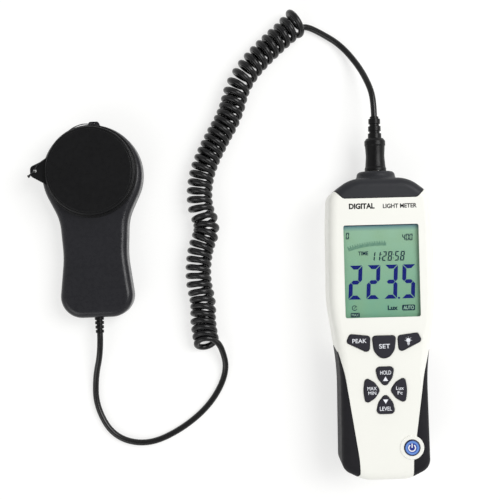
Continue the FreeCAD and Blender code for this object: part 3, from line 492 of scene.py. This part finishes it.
def key_legends():
    """The white legend of each key, just above its top, moving with the key."""
    white = ink("legend_white", srgb(236, 238, 244), 0.45)

    def legend(key):
        return Print(top(key) + PRINT_LIFT)

    peak = legend("peak_key")
    peak.word("PEAK", -18.4, 84.4, -10.2, 86.8, 0.006)
    peak.made("peak_legend", "peak_key", white)

    setting = legend("set_key")
    setting.word("SET", -3.0, 80.9, 3.3, 83.5, 0.006)
    setting.made("set_legend", "set_key", white)

    bulb = legend("backlight_key")
    bulb.dot(14.0, 85.3, 1.25, 24)
    bulb.bar(14.0, 84.4, 14.0, 83.6, 1.3)
    bulb.bar(13.3, 83.3, 14.7, 83.3, 0.34)
    bulb.bar(13.5, 82.7, 14.5, 82.7, 0.34)
    for degrees in (0, 45, 90, 135, 180):
        t = math.radians(degrees)
        bulb.bar(14.0 + 1.6 * math.cos(t), 85.3 + 1.6 * math.sin(t), 14.0 + 2.1 * math.cos(t),
                 85.3 + 2.0 * math.sin(t), 0.26)
    bulb.made("backlight_legend", "backlight_key", white)

    hold = legend("hold_key")
    hold.word("HOLD", -2.8, 65.8, 3.5, 68.1, 0.006)
    hold.polygon([(-1.3, 62.1), (1.7, 62.1), (0.2, 64.7)])
    hold.made("hold_legend", "hold_key", white)

    extremes = legend("max_min_key")
    extremes.word("MAX", -10.4, 56.9, -5.0, 58.9, 0.006)
    extremes.word("MIN", -10.0, 54.3, -5.4, 56.2, 0.006)
    extremes.made("max_min_legend", "max_min_key", white)

    unit = legend("unit_key")
    unit.word("Lux", 6.2, 56.8, 10.6, 58.8, 0.006)
    unit.word("Fc", 7.0, 54.1, 9.9, 56.1, 0.006)
    unit.made("unit_legend", "unit_key", white)

    level = legend("level_key")
    level.word("LEVEL", -3.5, 44.9, 3.4, 47.2, 0.006)
    level.polygon([(-1.5, 51.4), (1.5, 51.4), (0.0, 48.9)])
    level.made("level_legend", "level_key", white)

    power = legend("power_key")
    power.arc(14.55, 23.0, 1.95, 0.66, 125.0, 415.0, 36)
    power.bar(14.55, 23.1, 14.55, 25.6, 0.62)
    power.made("power_legend", "power_key", white)


def header_print():
    """The line of black print above the display."""
    # the grips' tops lie in the meter's face
    header = Print(top("left_grip") + PRINT_LIFT)
    header.word("DIGITAL", -18.3, 161.9, -3.4, 165.2, 0.045)
    header.word("LIGHT METER", 1.4, 162.0, 21.0, 164.6, 0.03)
    header.made("header_line", "meter", ink("print_black", srgb(24, 24, 26)))


# ---- cords ----

CORD_R = 1.85 * MM
POINTS_A_TURN = 16
TETHER_R = 0.3 * MM

# The cord's route: its smooth lead from the plug's boot, the middle of the curly part, and its smooth lead
# to the head's boot, in millimetres.
LEAD_PLUG_SIDE = [
    (86.3, 105.8, 18.0),
    (86.3, 117.0, 18.0),
    (84.0, 127.3, 14.5),
    (78.7, 140.3, 6.8),
    (68.6, 153.8, 2.6),
    (56.0, 161.8, 1.95),
    (48.5, 165.4, 1.95),
]
CURLY_AXIS = [
    (43.5, 168.0),
    (22.0, 150.5),
    (5.5, 131.5),
    (0.5, 112.0),
    (-9.5, 95.5),
    (-18.5, 77.0),
    (-20.5, 57.0),
    (-14.5, 43.5),
    (-20.5, 30.5),
    (-22.2, 12.0),
    (-18.8, -3.0),
    (-20.0, -14.0),
    (-17.6, -28.0),
]
LEAD_HEAD_SIDE = [
    (-8.8, -29.0, 7.0),
    (-5.5, -44.5, 2.2),
    (-15.5, -64.0, 1.95),
    (-34.0, -79.5, 1.95),
    (-56.0, -89.0, 1.95),
    (-76.5, -83.5, 1.95),
    (-86.8, -64.5, 1.95),
    (-86.6, -46.0, 3.2),
    (-82.08, -30.4, 9.0),
    (-82.24, -18.6, 9.0),
]
# The curly part's pitch, lean and size along its middle: share of its length, then millimetres or degrees.
COIL_PITCH = [
    (0.0, 6.3), (0.03, 5.3), (0.06, 5.0), (0.1, 4.7), (0.13, 5.0), (0.17, 5.1), (0.2, 5.4), (0.225, 5.8),
    (0.25, 5.6), (0.3, 4.7), (0.36, 4.5), (0.38, 4.1), (0.42, 4.4), (0.47, 4.4), (0.52, 4.8), (0.56, 4.9),
    (0.6, 5.1), (0.62, 5.4), (0.65, 5.1), (0.68, 4.4), (0.74, 4.4), (0.78, 4.9), (0.82, 4.8), (0.86, 4.6),
    (0.9, 4.6), (1.0, 4.3),
]
COIL_LEAN = [(0.0, 12.0), (0.85, 12.0), (0.93, 20.0), (0.97, 30.0), (1.0, 44.0)]
COIL_WIDTH = [(0.0, 7.4), (0.02, 7.0), (0.05, 6.05), (1.0, 6.05)]
COIL_START_TURN = -205.0
COIL_END_TURN = 55.0


def in_metres(points):
    return [Vector(p) * MM for p in points]


def along_table(table, share):
    """The value at a share of the way, from a table of shares and values."""
    for (low, a), (high, b) in zip(table, table[1:]):
        if share <= high:
            return a + (b - a) * (share - low) / (high - low)
    return table[-1][1]


def nurbs_curve(name, points, resolution=8):
    """A curve of one open NURBS spline with these control points."""
    curve = bpy.data.curves.new(name, "CURVE")
    curve.dimensions = "3D"
    spline = curve.splines.new("NURBS")
    spline.points.add(len(points) - 1)
    for point, place in zip(spline.points, points):
        point.co = (*place, 1.0)
    spline.order_u = 3
    spline.use_endpoint_u = True
    spline.resolution_u = resolution
    return curve


def line_of(points, resolution=24):
    """The points that a NURBS spline with these control points runs through, in order."""
    curve = nurbs_curve("line", points, resolution)
    holder = bpy.data.objects.new("line", curve)
    mesh = bpy.data.meshes.new_from_object(holder)
    line = [v.co.copy() for v in mesh.vertices]
    bpy.data.meshes.remove(mesh)
    bpy.data.curves.remove(curve)
    return line


class Line:
    """A line of points that can be read at any distance from its start."""

    def __init__(self, points):
        self.points = points
        self.at = [0.0]
        for a, b in zip(points, points[1:]):
            self.at.append(self.at[-1] + (b - a).length)
        self.length = self.at[-1]

    def place(self, distance):
        """The point at this distance."""
        distance = min(max(distance, 0.0), self.length)
        i = 0
        while i < len(self.at) - 2 and self.at[i + 1] < distance:
            i += 1
        share = (distance - self.at[i]) / (self.at[i + 1] - self.at[i])
        return self.points[i].lerp(self.points[i + 1], share)

    def heading(self, distance):
        """The direction at this distance."""
        reach = 2.0 * MM
        return (self.place(distance + reach) - self.place(distance - reach)).normalized()


def coil_points():
    """The control points of the curly part's turns, from its plug end to its head end."""
    axis = Line(line_of([Vector((x, y, 0.0)) * MM for x, y in CURLY_AXIS]))
    distances = [0.0]
    while distances[-1] < axis.length:
        pitch = along_table(COIL_PITCH, distances[-1] / axis.length)
        distances.append(distances[-1] + pitch * MM / POINTS_A_TURN)
    # the turns end at their own angle, so each step is a little more or less than its share of a turn
    natural = 360.0 * (len(distances) - 1) / POINTS_A_TURN
    rest = COIL_END_TURN - COIL_START_TURN
    step = (rest + 360.0 * round((natural - rest) / 360.0)) / (len(distances) - 1)
    swell = 1 / math.cos(math.radians(step) / 2)
    points = []
    for i, distance in enumerate(distances):
        share = min(distance / axis.length, 1.0)
        ahead = axis.heading(distance)
        across = Vector((-ahead.y, ahead.x, 0.0))
        lean = math.radians(along_table(COIL_LEAN, share))
        up = Vector((0.0, 0.0, math.cos(lean))) - ahead * math.sin(lean)
        r = along_table(COIL_WIDTH, share) * MM
        centre = axis.place(distance) + Vector((0.0, 0.0, CORD_R + r * math.cos(lean)))
        angle = math.radians(COIL_START_TURN + step * i)
        points.append(centre + (across * math.sin(angle) + up * math.cos(angle)) * r * swell)
    return points


def probe_cord(material):
    """The whole lead as one cord: smooth, curly, and smooth again."""
    route = in_metres(LEAD_PLUG_SIDE) + coil_points() + in_metres(LEAD_HEAD_SIDE)
    curve = nurbs_curve("probe_cord", route)
    curve.bevel_depth = CORD_R
    curve.bevel_resolution = 6
    curve.use_fill_caps = True
    cord = shown("probe_cord", curve, "probe", material)
    print("cord length", round(Line(line_of(route, 8)).length, 4))
    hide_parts("lead_plug_side", "curly_cord", "lead_head_side")


def tube_mesh(name, line, r, sides=10):
    """A round tube of rings along a line, closed at both ends."""
    shape = bmesh.new()
    rings = []
    side = Vector((0.3, 0.2, 1.0))
    angles = [2 * math.pi * k / sides for k in range(sides)]
    for i, place in enumerate(line):
        ahead = (line[min(i + 1, len(line) - 1)] - line[max(i - 1, 0)]).normalized()
        side = (side - ahead * side.dot(ahead)).normalized()
        other = ahead.cross(side)
        spokes = [side * math.cos(t) + other * math.sin(t) for t in angles]
        rings.append([shape.verts.new(place + spoke * r) for spoke in spokes])
    for a, b in zip(rings, rings[1:]):
        for k in range(sides):
            shape.faces.new([a[k], a[(k + 1) % sides], b[(k + 1) % sides], b[k]])
    shape.faces.new(rings[0][::-1])
    shape.faces.new(rings[-1])
    bmesh.ops.recalc_face_normals(shape, faces=shape.faces)
    mesh = bpy.data.meshes.new(name)
    shape.to_mesh(mesh)
    shape.free()
    mesh.shade_smooth()
    return mesh


# The tether hugs the head's upper rim from the lug's eye to the hole of the cap's tab, in millimetres.
TETHER_ROUTE = [
    (-82.2, 107.7, 10.4),
    (-82.3, 107.7, 13.6),
    (-84.6, 107.3, 15.4),
    (-88.9, 107.4, 16.2),
    (-95.6, 104.6, 16.6),
    (-101.2, 98.6, 17.2),
    (-106.2, 92.6, 17.6),
    (-109.4, 87.6, 18.6),
    (-112.6, 85.2, 20.3),
    (-115.2, 83.0, 21.2),
    (-116.8, 79.9, 21.2),
    (-116.9, 79.5, 18.6),
]
# The knot at the tab's tip: a loop of the same thread over the hole's outer side, and its two short ends.
TAB_LOOP = [
    (-116.9, 79.5, 17.9),
    (-118.4, 78.0, 17.6),
    (-120.6, 77.0, 18.4),
    (-120.9, 76.6, 20.6),
    (-119.2, 77.6, 21.4),
    (-117.1, 79.3, 21.2),
    (-116.9, 79.5, 19.4),
]


def wound_knot(name, place, body, r, material):
    """A small overhand knot: a trefoil of thread about a point in millimetres."""
    ring = []
    steps = 60
    for i in range(steps + 1):
        t = 2 * math.pi * i / steps
        x = math.sin(t) + 2 * math.sin(2 * t)
        y = math.cos(t) - 2 * math.cos(2 * t)
        ring.append((Vector(place) + Vector((x, y, -1.1 * math.sin(3 * t))) * r) * MM)
    return shown(name, tube_mesh(name, ring, TETHER_R, 8), body, material)


def cap_tether(thread):
    """The thread that keeps the cap on the head, with its knots."""
    line = line_of(in_metres(TETHER_ROUTE), 10)
    tether = shown("cap_tether_thread", tube_mesh("cap_tether_thread", line, TETHER_R), None, thread)
    loop_line = line_of(in_metres(TAB_LOOP), 8)
    loop = shown("tether_tab_loop", tube_mesh("tether_tab_loop", loop_line, TETHER_R), "sensor_cap", thread)
    tab_knot = wound_knot("tether_tab_knot", (-120.2, 76.4, 21.3), "sensor_cap", 0.24, thread)
    lug_knot = wound_knot("tether_lug_knot", (-82.2, 107.7, 9.2), "probe", 0.26, thread)
    length = Line(line).length
    print("tether length", round(length, 4))
    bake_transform(tether)
    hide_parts("cap_tether")


# ---- stage, light and camera ----

SOFTBOX_SIZE = 1.1
SIDE_LIGHT = 0.86
OVERHEAD_LIGHT = 0.29
CAMERA_PLACE = (10.1, 29.2, 600.0)
CAMERA_ROLL = -1.5


def floor():
    """A pale table that is partly lit from within, so shadows on it stay light."""
    tree = Tree("floor")
    faint = tree.noise(60.0, 2.0).outputs["Fac"]
    pale = tree.blended(faint, (0.40, 0.40, 0.395, 1), (0.42, 0.42, 0.415, 1))
    own = tree.node("ShaderNodeEmission", {"Color": (0.62, 0.62, 0.616, 1), "Strength": 1.0}).outputs[0]
    plain = tree.node("ShaderNodeBsdfDiffuse", {"Color": pale}).outputs[0]
    both = tree.node("ShaderNodeAddShader", {0: own, 1: plain}).outputs[0]
    tree.put(tree.output.inputs["Surface"], both)
    mesh = bpy.data.meshes.new("floor")
    reach = 2.0
    corners = [(-reach, -reach, 0), (reach, -reach, 0), (reach, reach, 0), (-reach, reach, 0)]
    mesh.from_pydata(corners, [], [(0, 1, 2, 3)])
    shown("floor", mesh, None, tree.material)


def softbox(name, place, power):
    """A large square lamp that is aimed at the middle of the table."""
    light = bpy.data.lights.new(name, "AREA")
    light.energy = power
    light.size = SOFTBOX_SIZE
    lamp = bpy.data.objects.new(name, light)
    lamp.location = place
    lamp.rotation_euler = (-Vector(place)).to_track_quat("-Z", "Y").to_euler()
    bpy.context.scene.collection.objects.link(lamp)


def lights():
    """Two soft lamps, and a surrounding light that is stronger from the sides than from above."""
    softbox("key", (1.0, 0.45, 1.5), 22.0)
    softbox("fill", (-0.9, -1.0, 1.3), 7.0)
    world = bpy.data.worlds.new("world")
    world.use_nodes = True
    nodes, links = world.node_tree.nodes, world.node_tree.links
    up = nodes.new("ShaderNodeSeparateXYZ")
    fade = nodes.new("ShaderNodeMapRange")
    fade.inputs["To Min"].default_value = SIDE_LIGHT
    fade.inputs["To Max"].default_value = OVERHEAD_LIGHT
    links.new(nodes.new("ShaderNodeTexCoord").outputs["Generated"], up.inputs[0])
    links.new(up.outputs["Z"], fade.inputs["Value"])
    links.new(fade.outputs["Result"], nodes["Background"].inputs["Strength"])
    nodes["Background"].inputs["Color"].default_value = (1.0, 1.0, 1.0, 1.0)
    bpy.context.scene.world = world
    bpy.context.scene.view_settings.view_transform = "Standard"


def camera():
    """Straight down on the whole object, a little off its middle."""
    lens = bpy.data.cameras.new("camera")
    lens.lens = 70.1
    lens.sensor_width = 36.0
    lens.clip_start = 0.01
    eye = bpy.data.objects.new("camera", lens)
    eye.location = Vector(CAMERA_PLACE) * MM
    eye.rotation_euler = (0.0, 0.0, math.radians(CAMERA_ROLL))
    bpy.context.scene.collection.objects.link(eye)
    bpy.context.scene.camera = eye


materials = made_materials()
dress_frame(materials)
display_prints()
key_legends()
header_print()
probe_cord(materials["cord_pvc"])
cap_tether(materials["tether_thread"])
floor()
lights()
camera()
